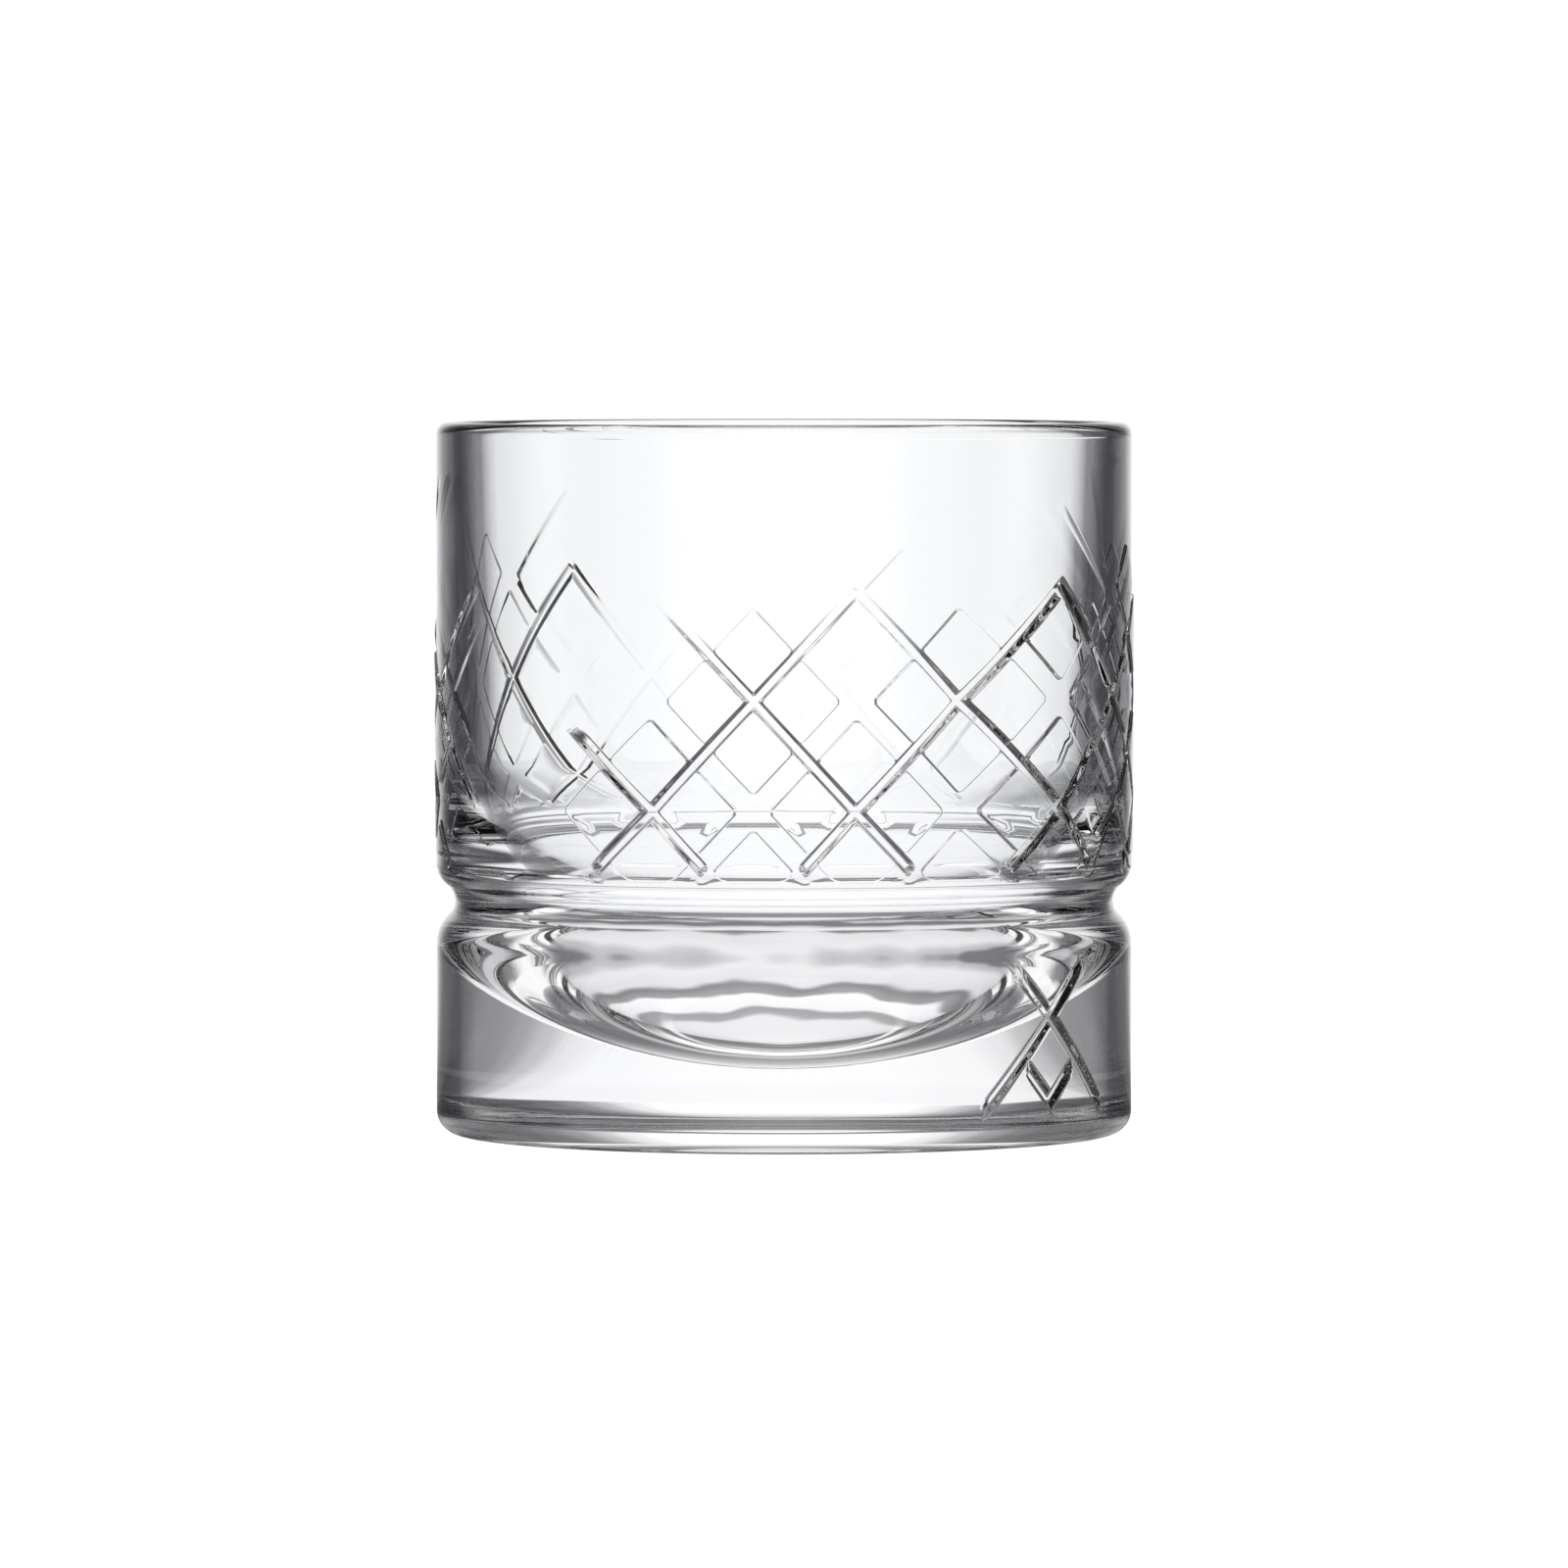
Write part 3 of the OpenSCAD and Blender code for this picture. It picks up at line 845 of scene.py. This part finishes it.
# rings of shade on the table under the glass, by millimetres from its axis: a stand-in for what
# its foot, its hollow and the light that they gather leave there
SHADE_STOPS = [
    (0, 0.88), (14.5, 0.84), (16, 0.4), (17.5, 0.36), (18.5, 0.92), (22, 0.97), (23, 0.35),
    (25.2, 0.25), (27, 0.78), (31, 0.84), (34, 0.55), (36, 0.2), (39.5, 0.2), (42, 0.6),
    (50, 0.95), (60, 0.95),
]
SHADE_SPAN = 60
SHADE_WANDER = 9.0  # how far the rings of shade wander, from end to end
FAR = (0.046, 0.062)  # metres from the axis where the rings of shade give way to the table
# how flat a look is, from 0 straight down to 1 along the table
# STEEP sets where the painted shade of the table by direction takes over, GRAZING where the painted sheen
# does
STEEP = (0.56, 0.68)
GRAZING = (0.82, 0.93)

bm = bmesh.new()
bmesh.ops.create_circle(bm, cap_ends=True, radius=FLOOR_R, segments=128)
floor_mesh = bpy.data.meshes.new("floor")
bm.to_mesh(floor_mesh)
bm.free()
floor = bpy.data.objects.new("floor", floor_mesh)
floor.location.z = -FLOOR_DROP
bpy.context.scene.collection.objects.link(floor)

scene = bpy.context.scene
scene.view_settings.view_transform = "Standard"
scene.view_settings.look = "None"


def nodes_of(nt):
    """A short way to add maths, ramps and links to a node tree."""

    def maths(op, *args):
        """One maths node on numbers or other nodes' values."""
        n = nt.nodes.new("ShaderNodeMath")
        n.operation = op
        for k, a in enumerate(args):
            if isinstance(a, (int, float)):
                n.inputs[k].default_value = a
            else:
                nt.links.new(a, n.inputs[k])
        return n.outputs[0]

    def ramp(value, span, stops):
        """Brightness by a value from 0 to span, through stops of (value, brightness)."""
        n = nt.nodes.new("ShaderNodeValToRGB")
        n.color_ramp.interpolation = "EASE"
        els = n.color_ramp.elements
        while len(els) > 1:
            els.remove(els[-1])
        for k, (at, level) in enumerate(stops):
            e = els[0] if k == 0 else els.new(at / span)
            e.position = at / span
            e.color = (level, level, min(level + 0.006, 1.0), 1)
        nt.links.new(maths("DIVIDE", value, span), n.inputs["Fac"])
        return n.outputs["Color"]

    def mix(factor, a, b):
        """Colour a where the factor is 0, b where it is 1."""
        n = nt.nodes.new("ShaderNodeMix")
        n.data_type = "RGBA"
        nt.links.new(factor, n.inputs["Factor"])
        for k, c in ((6, a), (7, b)):
            if isinstance(c, tuple):
                n.inputs[k].default_value = c
            else:
                nt.links.new(c, n.inputs[k])
        return n.outputs[2]

    def slope(value, low, high):
        """0 up to a low value, 1 from a high one."""
        n = nt.nodes.new("ShaderNodeMapRange")
        n.inputs["From Min"].default_value = low
        n.inputs["From Max"].default_value = high
        nt.links.new(value, n.inputs["Value"])
        return n.outputs["Result"]

    def length(x, y):
        return maths("SQRT", maths("ADD", maths("MULTIPLY", x, x), maths("MULTIPLY", y, y)))

    def azimuth(x, y):
        """Degrees from straight behind the glass, the same to the left and to the right."""
        return maths("MULTIPLY", maths("ARCTAN2", maths("ABSOLUTE", x), y), DEGREE)

    return maths, ramp, mix, slope, length, azimuth


def studio():
    """Bright behind and in front, a dim panel at each side, dark between, and a grey sky.

    The camera itself sees plain white, so only the glass shows the room.
    """
    world = bpy.data.worlds.new("studio")
    scene.world = world
    world.use_nodes = True
    nt = world.node_tree
    nt.nodes.clear()
    maths, ramp, mix, _, length, azimuth = nodes_of(nt)
    coord = nt.nodes.new("ShaderNodeTexCoord")
    split = nt.nodes.new("ShaderNodeSeparateXYZ")
    nt.links.new(coord.outputs["Generated"], split.inputs[0])
    x, y, z = split.outputs
    high = maths("MAXIMUM", maths("MULTIPLY", maths("ARCTAN2", z, length(x, y)), DEGREE), 0.0)
    # the bright wall behind the glass narrows a little towards the top
    around = maths("ADD", azimuth(x, y), maths("MULTIPLY", high, 0.25))
    room = mix(ramp(high, 90, SKY_STOPS), ramp(around, 180, WORLD_STOPS), SKY_GREY)
    path = nt.nodes.new("ShaderNodeLightPath")
    seen = mix(path.outputs["Is Camera Ray"], room, WHITE)
    background = nt.nodes.new("ShaderNodeBackground")
    nt.links.new(seen, background.inputs["Color"])
    background.inputs["Strength"].default_value = ROOM_LIGHT
    out = nt.nodes.new("ShaderNodeOutputWorld")
    nt.links.new(background.outputs[0], out.inputs["Surface"])


def pale_floor():
    """A table that is plain white to the camera.

    Through the glass it shows painted rings of shade under the glass and, at a flatter look, the room's
    dark sides painted in as a painted sheen, in place of a polished table's reflection.
    """
    mat = bpy.data.materials.new("pale_floor")
    mat.use_nodes = True
    nt = mat.node_tree
    nt.nodes.clear()
    maths, ramp, mix, slope, length, azimuth = nodes_of(nt)
    coord = nt.nodes.new("ShaderNodeTexCoord")
    split = nt.nodes.new("ShaderNodeSeparateXYZ")
    nt.links.new(coord.outputs["Object"], split.inputs[0])
    x, y, _ = split.outputs
    around = azimuth(x, y)
    away = length(x, y)
    facing = nt.nodes.new("ShaderNodeLayerWeight").outputs["Facing"]
    # rings of shade under the glass, which wander a little
    uneven = nt.nodes.new("ShaderNodeTexNoise")
    uneven.inputs["Scale"].default_value = 75
    uneven.inputs["Detail"].default_value = 1.5
    nt.links.new(coord.outputs["Object"], uneven.inputs["Vector"])
    wander = maths("MULTIPLY", maths("SUBTRACT", uneven.outputs["Fac"], 0.5), SHADE_WANDER)
    place = maths("ADD", maths("DIVIDE", maths("MINIMUM", away, 0.055), MM), wander)
    shade = ramp(place, SHADE_SPAN, SHADE_STOPS)
    # painted shade: seen steeply the table beyond is white all round, and at a flatter look painted dark
    # where the room is
    beyond = mix(slope(facing, *STEEP), TABLE_WHITE, ramp(around, 180, TABLE_SHADE_STOPS))
    table = mix(slope(away, *FAR), shade, beyond)
    # painted sheen: at a grazing look the table takes the room's brightness by direction
    seen = mix(slope(facing, *GRAZING), table, ramp(around, 180, PAINTED_SHEEN_STOPS))
    path = nt.nodes.new("ShaderNodeLightPath")
    seen = mix(path.outputs["Is Camera Ray"], seen, WHITE)
    light = nt.nodes.new("ShaderNodeEmission")
    nt.links.new(seen, light.inputs["Color"])
    light.inputs["Strength"].default_value = FLOOR_LIGHT
    out = nt.nodes.new("ShaderNodeOutputMaterial")
    nt.links.new(light.outputs[0], out.inputs["Surface"])
    return mat


studio()
floor_mesh.materials.append(pale_floor())
# a path caught in the glass for longer than this stays dark, as the deepest places in the photo are
scene.cycles.max_bounces = 11
scene.cycles.transmission_bounces = 11
scene.cycles.glossy_bounces = 8

# ---------------------------------------------------------------- camera
cam_data = bpy.data.cameras.new("camera")
cam = bpy.data.objects.new("camera", cam_data)
scene.collection.objects.link(cam)
eye = Vector((0.0, -1.487, 0.1002))  # a long lens, slightly above the rim
target = Vector((0.0, 0.0, 0.0422))
cam.location = eye
cam.rotation_euler = (target - eye).to_track_quat("-Z", "Y").to_euler()
cam_data.sensor_width = 36
cam_data.lens = 282.5
cam_data.clip_end = 10
scene.camera = cam

bpy.context.view_layer.update()
